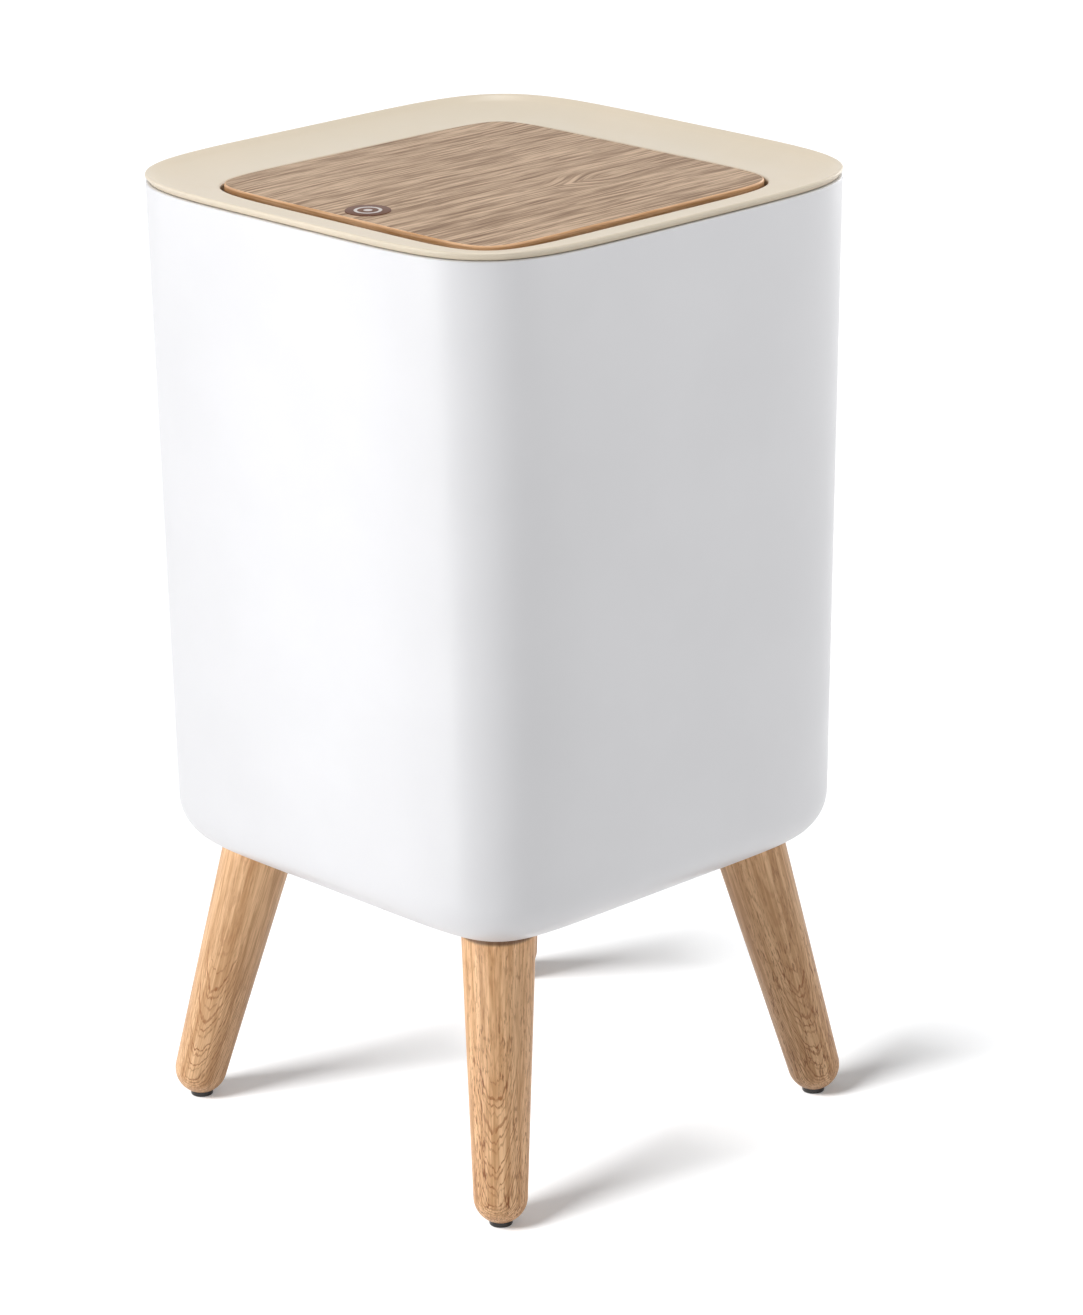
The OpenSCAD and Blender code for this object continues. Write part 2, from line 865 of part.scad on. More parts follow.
module latch_slider() {
    color("white")
        difference() {
            union() {
                translate([-slider_x, latch_y - slider_y, slider_low])
                    cube([2 * slider_x, 2 * slider_y, slider_top - slider_low]);
                for (side = [0, 1])
                    mirror([side, 0, 0])
                        translate([0, latch_y + 2, 0])
                            rotate([90, 0, 0])
                                linear_extrude(4)
                                    polygon([
                                        [slider_x, slider_top - 0.5],
                                        [slider_x, claw_top],
                                        [hook_gap + 0.8, claw_top],
                                        [hook_gap, hook_low + 0.5],
                                        [hook_gap, hook_low],
                                        [claw_inner, hook_low],
                                        [claw_inner, slider_top - 0.5]
                                    ]);
            }
            translate([0, latch_y, slider_low - past])
                cylinder(r = slider_bore_r, h = slider_bore_top - slider_low + past, $fn = 48);
            difference() {
                translate([-2.2, latch_y + slider_y - 1.2, 338.3])
                    cube([4.4, 1.2 + past, 8.9]);
                translate([0, latch_y + slider_y + 2 * past, 0])
                    rotate([90, 0, 0])
                        linear_extrude(1.2 + 2 * past + 0.2)
                            polygon([
                                [-0.9, 342.8],
                                [0, 342.2],
                                [0.9, 342.8],
                                [0.5, 340.6],
                                [0, 340],
                                [-0.5, 340.6]
                            ]);
            }
        }
}

module latch_cam_pin() {
    color("silver") {
        translate([0, cam_pin_y, cam_pin_low])
            cylinder(r = cam_wire_r, h = cam_pin_high - cam_pin_low, $fn = 24);
        for (z = [cam_pin_low, cam_pin_high])
            translate([0, cam_pin_y, z])
                sphere(r = cam_wire_r, $fn = 24);
        translate([0, cam_pin_y, cam_pin_low])
            rotate([-90, 0, 0])
                cylinder(r = cam_wire_r, h = 2, $fn = 24);
        translate([0, cam_pin_y, cam_pin_high])
            rotate([90, 0, 0])
                cylinder(r = cam_wire_r, h = 1.7, $fn = 24);
    }
}

// Compression spring in the bore of the slider
latch_coil_r = 1.8;
latch_wire_r = 0.3;
latch_turns = 5;
spring_low = housing_low + floor_t + latch_wire_r + 0.05;
spring_high = slider_bore_top - latch_wire_r - 0.05;

function latch_spring_path() = [
    for (k = [0 : latch_turns * coil_points])
        let (angle = 360 * k / coil_points, share = k / (latch_turns * coil_points))
        [
            latch_coil_r * cos(angle),
            latch_y + latch_coil_r * sin(angle),
            spring_low + (spring_high - spring_low) * share
        ]
];

echo(latch_spring_gap = least_gap(latch_spring_path(), latch_wire_r, coil_points / 2 + 1));

module latch_spring() {
    color("silver") wire(latch_spring_path(), latch_wire_r, [0, 0, 1]);
}

module latch_screws() {
    color("silver")
        for (side = [-1, 1])
            translate([side * housing_screw_x, -collar_y + 0.2 + flange_t, housing_screw_z])
                rotate([90, 0, 0])
                    pan_screw(1.15, 8.4, 2.7, 1.8);
}

outer_body();
leg(front_left);  // leg_front_left
leg(front_right);  // leg_front_right
leg(back_left);  // leg_back_left
leg(back_right);  // leg_back_right
foot_pad(front_left);  // foot_pad_front_left
foot_pad(front_right);  // foot_pad_front_right
foot_pad(back_left);  // foot_pad_back_left
foot_pad(back_right);  // foot_pad_back_right
pad_nails();
hanger_bolts();
threaded_inserts();
bag_ring();
lid_frame();
flap_panel();
flap_carrier();
badge();
panel_screws();
latch_striker();
striker_screw();
hinge_pin();
pin_clips();
torsion_spring(-1);  // torsion_spring_left
torsion_spring(1);  // torsion_spring_right
latch_housing();
latch_slider();
latch_spring();
latch_cam_pin();
latch_screws();
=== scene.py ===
import math

import bmesh
import bpy
from mathutils import Matrix, Vector


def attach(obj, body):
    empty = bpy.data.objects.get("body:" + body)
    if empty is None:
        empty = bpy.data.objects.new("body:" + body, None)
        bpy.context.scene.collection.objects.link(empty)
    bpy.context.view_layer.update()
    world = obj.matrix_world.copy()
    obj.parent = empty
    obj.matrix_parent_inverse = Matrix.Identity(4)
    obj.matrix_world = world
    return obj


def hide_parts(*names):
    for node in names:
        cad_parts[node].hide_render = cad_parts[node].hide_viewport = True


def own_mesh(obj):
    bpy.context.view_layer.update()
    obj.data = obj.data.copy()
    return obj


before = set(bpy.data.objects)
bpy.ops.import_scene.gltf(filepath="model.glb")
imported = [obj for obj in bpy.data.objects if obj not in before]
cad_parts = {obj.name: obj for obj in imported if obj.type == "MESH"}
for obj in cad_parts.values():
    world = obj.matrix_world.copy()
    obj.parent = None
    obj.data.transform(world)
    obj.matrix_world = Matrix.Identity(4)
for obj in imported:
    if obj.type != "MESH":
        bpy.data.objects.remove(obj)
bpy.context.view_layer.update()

# Everything below is written in millimetres and built in metres
MM = 0.001
OUTLINE_POINTS = 240
LEG_POINTS = 96

TOTAL_H = 374.0
BODY_FLOOR_Z = 108.6
BODY_TOP_Z = 370.9
BODY_TOP = (105.2, 129.7)
BODY_LOW = (99.8, 125.7)
BOTTOM_ROUND = 19.6
ROUND_TOP_Z = BODY_FLOOR_Z + BOTTOM_ROUND
BODY_WALL = 2.6
LEDGE_Z = 357.0

LEG_TOP_D = 94.4
LEG_FLOOR_D = 124.2
LEG_TOP_R = 14.1
LEG_FLOOR_R = 9.8
LEG_TOP_Z = BODY_FLOOR_Z - 0.4
SPLAY = math.atan((LEG_FLOOR_D - LEG_TOP_D) / BODY_FLOOR_Z)
PAD_R = 4.4
PAD_T = 2.0
CORNERS = {"front_left": 225, "front_right": 315, "back_left": 135, "back_right": 45}

LID = (105.0, 129.9)
OPENING = (79.8, 102.0)
LIP_Z = 368.3
LID_T = 2.2

PANEL = (76.4, 100.6)
PANEL_LOW_Z = 365.5
PANEL_TOP_Z = 369.3
BADGE_AT = (1.0, -64.3)
BADGE_R = 8.5
BADGE_T = 0.25

HINGE_Y = 57.0
HINGE_Z = 362.0
PIN_BORE_R = 1.55
LATCH_Y = -71.0
COLLAR_LOW_Z = 348.0
HOUSING_SCREW_X = 10.6
HOUSING_SCREW_Z = 339.0


# Shapes


def outline(half, reach):
    """Points of a rounded square, closer together at its corners."""
    power = math.log(2) / math.log(half * math.sqrt(2) / reach)
    points = []
    for i in range(OUTLINE_POINTS):
        turn = 2 * math.pi * i / OUTLINE_POINTS
        x, y = (math.copysign(abs(v) ** 0.6, v) for v in (math.cos(turn), math.sin(turn)))
        spread = (abs(x) ** power + abs(y) ** power) ** (1 / power)
        points.append((half * x / spread, half * y / spread))
    return points


def steps(start, end, count):
    """Evenly spaced values from start to end."""
    return [start + (end - start) * k / count for k in range(count + 1)]


def ring(half, reach, z):
    return [(x, y, z) for x, y in outline(half, reach)]


def arc(middle, radius, start, end, count):
    """Points (a, b) on part of a circle, its angles in degrees."""
    angles = [math.radians(a) for a in steps(start, end, count)]
    return [(middle[0] + radius * math.cos(t), middle[1] + radius * math.sin(t)) for t in angles]


def skin(bm, rings, hoop=False):
    """Faces between rings of points, with two flat ends unless the last ring joins the first."""
    rows = [[bm.verts.new(Vector(p) * MM) for p in points] for points in rings]
    following = rows[1:] + rows[:1] if hoop else rows[1:]
    for low, high in zip(rows, following):
        for i in range(len(low)):
            j = (i + 1) % len(low)
            bm.faces.new((low[i], low[j], high[j], high[i]))
    if not hoop:
        bm.faces.new(rows[0][::-1])
        bm.faces.new(rows[-1])


def lathe(bm, profile, place, count=64, hoop=False):
    """Turns a profile of (radius, height) round the local Z axis of the matrix place."""
    rings = []
    for radius, height in profile:
        turns = [2 * math.pi * i / count for i in range(count)]
        rings.append([place @ Vector((radius * math.cos(t), radius * math.sin(t), height)) for t in turns])
    skin(bm, rings, hoop)


def along(axis, at=(0, 0, 0)):
    """Matrix that turns local Z to an axis and moves the origin to a point."""
    return Matrix.Translation(Vector(at)) @ Vector(axis).to_track_quat("Z", "Y").to_matrix().to_4x4()


def block(bm, low, high, edge=0.4):
    """A box with rounded edges between two corners."""
    middle = (Vector(low) + Vector(high)) / 2 * MM
    size = (Vector(high) - Vector(low)) * MM
    place = Matrix.Translation(middle) @ Matrix.Diagonal((*size, 1))
    made = bmesh.ops.create_cube(bm, size=1, matrix=place)
    edges = list({e for v in made["verts"] for e in v.link_edges})
    bmesh.ops.bevel(bm, geom=edges, offset=edge * MM, segments=3, profile=0.5, affect="EDGES")


def tube(bm, path, radius, sides=12):
    """A round wire through a list of points."""
    points = [Vector(p) for p in path]
    side = None
    rings = []
    for i, point in enumerate(points):
        heading = (points[min(i + 1, len(points) - 1)] - points[max(i - 1, 0)]).normalized()
        if side is None:
            side = heading.orthogonal().normalized()
        side = (side - heading * side.dot(heading)).normalized()
        other = heading.cross(side)
        turns = [2 * math.pi * k / sides for k in range(sides)]
        rings.append([point + (side * math.cos(t) + other * math.sin(t)) * radius for t in turns])
    skin(bm, rings)


def cut_level(bm, z, keep_above):
    """Cuts a mesh at a height, keeps one side and closes it with a flat face."""
    geometry = bm.verts[:] + bm.edges[:] + bm.faces[:]
    cut = bmesh.ops.bisect_plane(
        bm, geom=geometry, plane_co=(0, 0, z * MM), plane_no=(0, 0, 1),
        clear_inner=keep_above, clear_outer=not keep_above)
    edges = [e for e in cut["geom_cut"] if isinstance(e, bmesh.types.BMEdge)]
    bmesh.ops.edgeloop_fill(bm, edges=edges)


def piece(name, bm, materials, body, node=None, sharp=32):
    """Turns a mesh being built into an object that rides on a body and stands for a CAD node."""
    bmesh.ops.recalc_face_normals(bm, faces=bm.faces)
    mesh = bpy.data.meshes.new(name)
    bm.to_mesh(mesh)
    bm.free()
    mesh.shade_smooth()
    mesh.set_sharp_from_angle(angle=math.radians(sharp))
    for material in materials if isinstance(materials, list) else [materials]:
        mesh.materials.append(material)
    obj = bpy.data.objects.new(name, mesh)
    bpy.context.scene.collection.objects.link(obj)
    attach(obj, body)
    if node:
        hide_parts(node)
    return obj


# Materials


def srgb(*levels):
    """A colour given in the 0 to 255 steps of a screen."""

    def linear(level):
        share = level / 255
        return share / 12.92 if share <= 0.04045 else ((share + 0.055) / 1.055) ** 2.4

    return (*map(linear, levels), 1.0)


class Surface:
    """A material under construction: its shader and short ways to add nodes."""

    def __init__(self, name, roughness, metallic=0.0, specular=0.5):
        self.material = bpy.data.materials.new(name)
        self.material.use_nodes = True
        self.tree = self.material.node_tree
        self.shader = self.tree.nodes["Principled BSDF"]
        self.shader.inputs["Metallic"].default_value = metallic
        self.shader.inputs["Roughness"].default_value = roughness
        self.shader.inputs["Specular IOR Level"].default_value = specular

    def node(self, kind, **settings):
        made = self.tree.nodes.new("ShaderNode" + kind)
        for key, value in settings.items():
            setattr(made, key, value)
        return made

    def feed(self, socket, value):
        if isinstance(value, bpy.types.NodeSocket):
            self.tree.links.new(value, socket)
        elif value is not None:
            socket.default_value = value

    def math(self, operation, first, second=None):
        made = self.node("Math", operation=operation)
        self.feed(made.inputs[0], first)
        self.feed(made.inputs[1], second)
        return made.outputs[0]

    def plus(self, first, second):
        return self.math("ADD", first, second)

    def minus(self, first, second):
        return self.math("SUBTRACT", first, second)

    def times(self, first, second):
        return self.math("MULTIPLY", first, second)

    def millimetres(self):
        """The place on the object, in millimetres."""
        return self.stretch(self.node("TexCoord").outputs["Object"], (1 / MM, 1 / MM, 1 / MM))

    def stretch(self, vector, factors):
        made = self.node("VectorMath", operation="MULTIPLY")
        self.feed(made.inputs[0], vector)
        self.feed(made.inputs[1], factors)
        return made.outputs[0]

    def split(self, vector):
        made = self.node("SeparateXYZ")
        self.feed(made.inputs[0], vector)
        return made.outputs

    def join(self, x, y, z):
        made = self.node("CombineXYZ")
        for socket, value in zip(made.inputs, (x, y, z)):
            self.feed(socket, value)
        return made.outputs[0]

    def noise(self, vector, scale=1.0, detail=2.0, roughness=0.5):
        made = self.node("TexNoise")
        self.feed(made.inputs["Vector"], vector)
        self.feed(made.inputs["Scale"], scale)
        self.feed(made.inputs["Detail"], detail)
        self.feed(made.inputs["Roughness"], roughness)
        return made.outputs["Fac"]

    def streaks(self, vector, factors, detail=2.0, roughness=0.5):
        """Noise drawn out along the axes that have the smaller factors."""
        return self.noise(self.stretch(vector, factors), 1.0, detail, roughness)

    def fade(self, value, low, high, out_low=0.0, out_high=1.0):
        """Maps low..high smoothly to out_low..out_high and holds it outside."""
        made = self.node("MapRange", interpolation_type="SMOOTHSTEP")
        for socket, number in zip(made.inputs, (value, low, high, out_low, out_high)):
            self.feed(socket, number)
        return made.outputs[0]

    def mix(self, factor, first, second, mode="MIX"):
        made = self.node("Mix", data_type="RGBA", blend_type=mode)
        self.feed(made.inputs["Factor"], factor)
        self.feed(made.inputs[6], first)
        self.feed(made.inputs[7], second)
        return made.outputs[2]

    def bump(self, height, distance, strength=1.0):
        """Relief whose height runs from 0 to 1 over a distance in millimetres."""
        made = self.node("Bump")
        self.feed(made.inputs["Height"], height)
        self.feed(made.inputs["Distance"], distance * MM)
        self.feed(made.inputs["Strength"], strength)
        self.feed(self.shader.inputs["Normal"], made.outputs[0])

    def colour(self, value):
        self.feed(self.shader.inputs["Base Color"], value)

    def roughness(self, value):
        self.feed(self.shader.inputs["Roughness"], value)


def moulded_plastic(name, light, dark, roughness, grain=0.012, specular=0.5):
    """Plastic from a mould: a faint cloud of tone, fine satin grain and rubbed patches."""
    s = Surface(name, roughness, specular=specular)
    at = s.millimetres()
    s.colour(s.mix(s.fade(s.noise(at, 0.02, 3), 0.35, 0.65), dark, light))
    rubbed = s.noise(at, 0.05, 4, 0.6)
    s.roughness(s.fade(rubbed, 0.35, 0.7, roughness - 0.04, roughness + 0.06))
    s.bump(s.noise(at, 2.2, 3, 0.6), grain)
    return s.material


def brushed_metal(name, light, dark, roughness):
    s = Surface(name, roughness, metallic=1.0)
    at = s.millimetres()
    s.colour(s.mix(s.noise(at, 0.8, 4, 0.6), dark, light))
    s.roughness(s.fade(s.noise(at, 3.0, 3), 0.3, 0.7, roughness - 0.07, roughness + 0.1))
    s.bump(s.streaks(at, (6.0, 0.8, 6.0), 3), 0.01)
    return s.material


def wood_print():
    """Printed wood film: fine straight grain from back to front, with one small arched figure."""
    s = Surface("wood_print", 0.5, specular=0.3)
    x, y, _ = s.split(s.millimetres())

    def grain(across, per_mm, along_mm, seed, detail=2.0):
        """Streaks along Y, centred on 0: how many to a millimetre across and along."""
        place = s.join(s.times(across, per_mm), s.times(y, along_mm), seed)
        return s.minus(s.noise(place, 1.0, detail), 0.5)

    bent = s.plus(x, s.times(grain(x, 0.03, 0.012, 3.0), 7.0))
    # The figure is a set of nested V lines that open to the back, beside the straight grain
    figure_x = 24.0
    off_axis = s.math("ABSOLUTE", s.minus(bent, figure_x))
    opening = s.fade(y, 4.0, 36.0, 0.0, 10.0)
    nested = s.minus(off_axis, opening)
    share = s.times(s.fade(off_axis, 6.0, 13.0, 1.0, 0.0), s.fade(y, -22.0, 4.0))

    def layer(per_mm, along_mm, seed, weight, detail=2.0):
        """One size of streak, taken from the figure near its axis and straight elsewhere."""
        arched = s.times(grain(nested, per_mm, along_mm, seed, detail), share)
        plain = grain(bent, per_mm, along_mm, seed + 20.0, detail)
        plain = s.times(plain, s.minus(1.0, share))
        return s.times(s.plus(arched, plain), weight)

    tone = s.times(grain(x, 0.03, 0.012, 2.0), 0.3)
    for streaks in (layer(0.2, 0.004, 1.0, 0.5), layer(0.5, 0.012, 5.0, 1.0),
                    layer(0.9, 0.035, 9.0, 1.5, 3.0), layer(2.4, 0.08, 13.0, 0.7)):
        tone = s.plus(tone, streaks)
    print_tone = s.mix(s.fade(tone, -0.46, 0.46), srgb(122, 92, 66), srgb(215, 184, 153))
    vessels = grain(bent, 1.1, 0.09, 4.0, 1.0)
    vessel = s.fade(vessels, 0.1, 0.2, 0.0, 0.45)
    s.colour(s.mix(vessel, print_tone, srgb(116, 87, 62)))
    s.roughness(s.fade(tone, -0.3, 0.3, 0.55, 0.46))
    s.bump(s.minus(tone, vessel), 0.04, 0.4)
    return s.material


def amber_edge():
    """Bare edge of the panel, the colour of caramel."""
    s = Surface("panel_edge", 0.35)
    at = s.millimetres()
    streaks = s.streaks(at, (0.05, 0.05, 1.6), 3, 0.6)
    s.colour(s.mix(s.fade(streaks, 0.3, 0.7), srgb(212, 158, 106), srgb(246, 200, 156)))
    s.bump(streaks, 0.03, 0.4)
    return s.material


def leg_wood():
    """Lacquered light hardwood. The attribute grain is each leg's own frame, in millimetres."""
    s = Surface("leg_wood", 0.42, specular=0.4)
    own = s.node("Attribute", attribute_name="grain").outputs["Vector"]
    x, _, u = s.split(own)
    # Growth layers lean across the foot and run along the leg above it, so they surface as arches
    warp = s.streaks(own, (0.06, 0.06, 0.03), 2)
    lean = s.fade(u, -40.0, 75.0, 0.0, 9.0)
    depth = s.plus(s.plus(x, lean), s.times(warp, 1.2))
    rough = s.times(s.streaks(own, (0.6, 0.6, 0.1), 2), 0.8)
    depth = s.plus(depth, rough)
    wide = s.noise(s.join(s.times(depth, 1.1), 0.0, 0.0), 1.0, 1)
    layers = s.math("SINE", s.plus(s.times(depth, 10.0), s.times(wide, 16.0)))
    line = s.times(s.fade(layers, 0.2, 0.95), s.fade(wide, 0.4, 0.6, 0.55, 1.0))
    broken = s.streaks(own, (1.1, 1.1, 0.3), 2)
    line = s.times(line, s.fade(broken, 0.3, 0.6, 0.3, 0.9))
    line = s.times(line, s.fade(u, 45.0, 80.0, 1.0, 0.35))
    stripe = s.streaks(own, (0.34, 0.34, 0.008), 2)
    fibre = s.streaks(own, (1.3, 1.3, 0.04), 3, 0.6)
    tone = s.plus(s.times(fibre, 0.5), s.times(stripe, 0.5))
    wood = s.mix(s.fade(tone, 0.36, 0.64), srgb(196, 148, 102), srgb(246, 202, 156))
    wood = s.mix(line, wood, srgb(152, 92, 46))
    pores = s.streaks(own, (1.7, 1.7, 0.26), 2)
    gathered = s.fade(s.streaks(own, (0.15, 0.15, 0.03), 2), 0.36, 0.55)
    gathered = s.times(gathered, s.fade(u, 50.0, 90.0, 1.0, 0.5))
    stock_and_light = s.node("ObjectInfo").outputs
    fleck = s.times(s.times(s.fade(pores, 0.54, 0.64), gathered), stock_and_light["Alpha"])
    wood = s.mix(fleck, wood, srgb(132, 76, 34))
    # Painted light and shade: the object colour makes some legs lighter or darker, on top of their own tone
    wood = s.mix(1.0, wood, stock_and_light["Color"], "MULTIPLY")
    # Painted shade: the wood turns dark just below the body, where the leg meets it
    z = s.split(s.millimetres())[2]
    s.colour(s.mix(s.fade(z, LEG_TOP_Z - 2.2, LEG_TOP_Z - 0.9, 0.0, 0.85), wood, srgb(92, 62, 40)))
    s.roughness(s.fade(fibre, 0.3, 0.7, 0.38, 0.5))
    s.bump(fibre, 0.04, 0.3)
    return s.material


def badge_print():
    """Dark disc with a pale ring and a dot, as a mark of where to press."""
    ring_r, ring_half, dot_r, soft = 4.6, 0.5, 1.5, 0.25
    s = Surface("badge_brown", 0.4, specular=0.12)
    at = s.millimetres()
    x, y, _ = s.split(at)
    across = s.minus(x, BADGE_AT[0])
    deep = s.minus(y, BADGE_AT[1])
    r = s.math("SQRT", s.plus(s.math("POWER", across, 2.0), s.math("POWER", deep, 2.0)))
    off_ring = s.math("ABSOLUTE", s.minus(r, ring_r))
    ring_mark = s.fade(off_ring, ring_half, ring_half + soft, 1.0, 0.0)
    dot = s.fade(r, dot_r, dot_r + 0.3, 1.0, 0.0)
    mark = s.math("MAXIMUM", ring_mark, dot)
    ground = s.mix(s.noise(at, 1.5, 3), srgb(90, 52, 32), srgb(108, 66, 43))
    s.colour(s.mix(mark, ground, srgb(216, 208, 204)))
    s.bump(s.noise(at, 3.0, 2), 0.01)
    return s.material


WHITE = moulded_plastic("white_plastic", srgb(242, 242, 244.5), srgb(240, 240, 242.5), 0.36)
BEIGE = moulded_plastic("beige_plastic", srgb(236, 222, 200), srgb(232, 219, 197), 0.34)
PRINT = wood_print()
EDGE = amber_edge()
WOOD = leg_wood()
BADGE = badge_print()
BLACK = moulded_plastic("black_glide", srgb(36, 34, 33), srgb(24, 23, 23), 0.3, 0.02)
ACETAL_WHITE = moulded_plastic("white_acetal", srgb(236, 235, 230), srgb(228, 227, 222), 0.5)
ACETAL_GREY = moulded_plastic("grey_acetal", srgb(140, 141, 143), srgb(126, 127, 130), 0.5)
ZINC = brushed_metal("zinc_steel", srgb(202, 203, 206), srgb(170, 172, 176), 0.32)
SPRING = brushed_metal("spring_steel", srgb(176, 178, 182), srgb(140, 142, 146), 0.26)
BRASS = brushed_metal("turned_brass", srgb(214, 180, 108), srgb(190, 152, 80), 0.3)


# Body


def body_size(z, inset=0.0):
    """Half width and corner reach of the body's outline at a height, moved in by an inset."""
    share = max(0.0, (z - ROUND_TOP_Z) / (BODY_TOP_Z - ROUND_TOP_Z))
    half, reach = (low + (top - low) * share for low, top in zip(BODY_LOW, BODY_TOP))
    return half - inset, reach - inset


def leg_frame(corner):
    """Frame of a leg in millimetres: its Z runs up the leg's axis from the floor."""
    return (Matrix.Rotation(math.radians(corner), 4, "Z")
            @ Matrix.Translation((LEG_FLOOR_D, 0, 0))
            @ Matrix.Rotation(-SPLAY, 4, "Y"))


def add_leg_socket(bm, place):
    """A boss inside the floor for the insert, with a wider foot round it."""
    boss_r, boss_top = 8.5, 131
    foot_r, foot_top = 12.6, 116
    socket = bmesh.new()
    lathe(socket, [(boss_r, 100), (boss_r, boss_top - 0.4), (boss_r - 0.4, boss_top)], place)
    lathe(socket, [(foot_r, 95), (foot_r, foot_top)], place)
    cut_level(socket, LEG_TOP_Z, keep_above=True)
    joined = bpy.data.meshes.new("socket")
    socket.to_mesh(joined)
    socket.free()
    bm.from_mesh(joined)
    bpy.data.meshes.remove(joined)


def build_body():
    floor_t = 3.0
    mouth_wall = 2.4
    ledge_w = 2.6
    inner_round = BOTTOM_ROUND - BODY_WALL
    section = arc((BOTTOM_ROUND, ROUND_TOP_Z), BOTTOM_ROUND, 270, 180, 20)
    section += [(0.0, ROUND_TOP_Z + (BODY_TOP_Z - ROUND_TOP_Z) * share) for share in (0.25, 0.5, 0.75)]
    section += arc((0.7, BODY_TOP_Z - 0.7), 0.7, 180, 90, 5)
    section += arc((1.8, BODY_TOP_Z - 0.6), 0.6, 90, 0, 5)
    section += [(mouth_wall, LEDGE_Z + 0.4), (mouth_wall + 0.4, LEDGE_Z), (mouth_wall + ledge_w, LEDGE_Z)]
    section += [(mouth_wall + ledge_w, LEDGE_Z - 3), (BODY_WALL, LEDGE_Z - 6.5)]
    section += [(BODY_WALL, z) for z in (290, 210)]
    inner = (floor_t + inner_round, BODY_FLOOR_Z + floor_t + inner_round)
    section += arc(inner, inner_round, 180, 270, 16)
    bm = bmesh.new()
    skin(bm, [ring(*body_size(z, inset), z) for inset, z in section])
    for corner in CORNERS.values():
        add_leg_socket(bm, leg_frame(corner))
    piece("body_shell", bm, WHITE, "bin", "outer_body")


build_body()


# Legs


def build_leg(name, corner, figure_turn, shift, tone, flecks):
    """One leg: where its arched figure faces, its piece of wood, how light it is (its own tone with painted
    light and shade) and how flecked it is.
    """
    taper = math.degrees(math.atan((LEG_TOP_R - LEG_FLOOR_R) * math.cos(SPLAY) / BODY_FLOOR_Z))
    rise = math.tan(math.radians(taper))
    ball_r = LEG_FLOOR_R + 0.4
    ball_u = (PAD_T + math.sqrt(ball_r ** 2 - PAD_R ** 2)) / math.cos(SPLAY)
    profile = arc((0, ball_u), ball_r, -88, -taper, 24)
    side_r, side_u = profile[-1]
    end_u, side_steps = 124, 12
    for step in range(1, side_steps + 1):
        up = (end_u - side_u) * step / side_steps
        profile.append((side_r + up * rise, side_u + up))
    place = leg_frame(corner)
    bm = bmesh.new()
    lathe(bm, profile, place, LEG_POINTS)
    cut_level(bm, PAD_T, keep_above=True)
    cut_level(bm, LEG_TOP_Z, keep_above=False)
    obj = piece("wooden_leg_" + name, bm, WOOD, "bin", "leg_" + name)
    back = Matrix.Rotation(-math.radians(figure_turn), 4, "Z") @ place.inverted()
    obj.color = (tone, tone, tone, flecks)
    grain = obj.data.attributes.new("grain", "FLOAT_VECTOR", "POINT")
    for vertex, value in zip(obj.data.vertices, grain.data):
        value.vector = back @ (vertex.co / MM) + Vector((0, shift, 0))


# Turn of the arched figure, place in the wood, lightness, and how flecked the leg is. The lightness is the
# wood's tone with painted light and shade: lighter for front_right, darker for back_right
LEG_STOCK_AND_LIGHT = {
    "front_left": (72, 0, 1.0, 0.25),
    "front_right": (-8, 310, 1.12, 0.9),
    "back_left": (120, 570, 1.0, 0.5),
    "back_right": (-72, 830, 0.9, 0.8),
}
for name, corner in CORNERS.items():
    build_leg(name, corner, *LEG_STOCK_AND_LIGHT[name])


# Bag ring


def build_bag_ring():
    flange_t, skirt_h = 2.4, 17
    low = LEDGE_Z + 0.3
    top = low + flange_t
    bottom = low - skirt_h
    section = [(3.1, low)]
    section += arc((3.6, top - 0.5), 0.5, 180, 90, 4)
    section += arc((13.2, top - 0.8), 0.8, 90, 0, 4)
    section += arc((13.5, bottom + 0.5), 0.5, 0, -90, 3)
    section += arc((12.5, bottom + 0.5), 0.5, -90, -180, 3)
    section.append((12.0, low))
    half, reach = body_size(LEDGE_Z)
    bm = bmesh.new()
    skin(bm, [ring(half - inset, reach - inset, z) for inset, z in section], hoop=True)
    piece("bag_holder", bm, WHITE, "bag_ring", "bag_ring")


build_bag_ring()


# Lid frame

OPENING_INSET = LID[0] - OPENING[0]
COLLAR_INSET = OPENING_INSET - 0.8
DISH_START = 4.0
LIP_R = 0.9
DISH_END = OPENING_INSET - LIP_R
DISH_DROP = 3.6


def lid_ring(inset, z):
    return ring(LID[0] - inset, LID[1] - inset * (LID[1] - OPENING[1]) / OPENING_INSET, z)


def dish_z(inset):
    """Height of the dished top: level at the lip and steeper towards the rim."""
    return LIP_Z + DISH_DROP * ((DISH_END - inset) / (DISH_END - DISH_START)) ** 2.5


